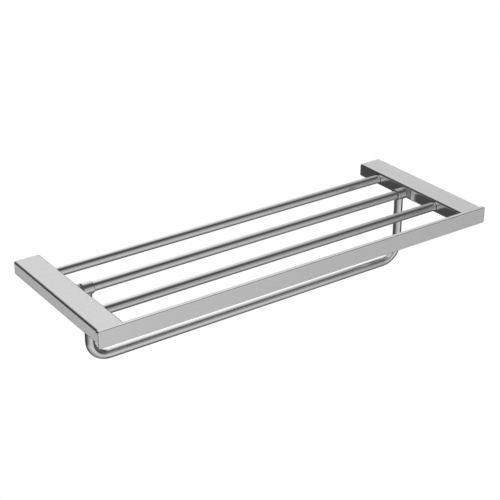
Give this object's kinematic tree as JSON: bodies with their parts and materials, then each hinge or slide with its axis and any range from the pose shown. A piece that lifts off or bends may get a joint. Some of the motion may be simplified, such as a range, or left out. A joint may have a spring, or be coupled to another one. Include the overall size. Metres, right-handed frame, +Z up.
{
  "type": "towel rack",
  "caption": "Wall-mounted bathroom towel rack with a shelf of round rods between square brackets, a flat front rail and a U-shaped towel bar that swings from the middle rod.",
  "frame": {"origin": "on the wall plane, halfway along the rack, at the height of the wall screws and the rod axes", "axes": "X runs along the rack, +Y points into the wall, +Z is up; the rack reaches from the wall towards -Y"},
  "size_m": [0.6, 0.221, 0.1173],
  "materials": {
    "bracket_steel": "fine brushed stainless sheet",
    "cover_steel": "brushed stainless sheet",
    "rail_steel": "brushed along its length",
    "rod_steel": "satin polished tube",
    "bail_steel": "satin polished tube",
    "collar_steel": "satin polished sleeve",
    "strap_steel": "plain sheet, hidden",
    "insert_steel": "turned insert, hidden",
    "screw_steel": "plain stainless screw",
    "lock_screw_steel": "blackened grub screw",
    "zinc_block": "cast and machined, hidden",
    "wall_plate_metal": "cast, as cast",
    "ring_steel": "matte turned steel, a little darker than the tubes",
    "bush_nylon": "natural white nylon"
  },
  "bodies": {
    "rack": {"left_bracket_shell": "bracket_steel", "right_bracket_shell": "bracket_steel", "left_bottom_cover": "cover_steel", "right_bottom_cover": "cover_steel", "cover_screws": "screw_steel", "left_front_block": "zinc_block", "right_front_block": "zinc_block", "left_rear_block": "zinc_block", "right_rear_block": "zinc_block", "front_rail": "rail_steel", "rail_screws": "screw_steel", "rear_rod": "rod_steel", "middle_rod": "rod_steel", "front_rod": "rod_steel", "rod_plugs": "insert_steel", "left_rod_strap": "strap_steel", "right_rod_strap": "strap_steel", "rod_screws": "screw_steel", "left_wall_plate": "wall_plate_metal", "right_wall_plate": "wall_plate_metal", "lock_screws": "lock_screw_steel", "left_spacer_ring": "ring_steel", "right_spacer_ring": "ring_steel"},
    "towel_bail": {"bail_tube": "bail_steel", "left_pivot_collar": "collar_steel", "right_pivot_collar": "collar_steel", "left_collar_bush": "bush_nylon", "right_collar_bush": "bush_nylon"}
  },
  "joints": [
    {"name": "bail_swing", "type": "hinge", "parent": "rack", "child": "towel_bail", "pos_m": [0, -0.1, 0], "axis": [-1, 0, 0], "range_deg": [-69, 77]}
  ]
}
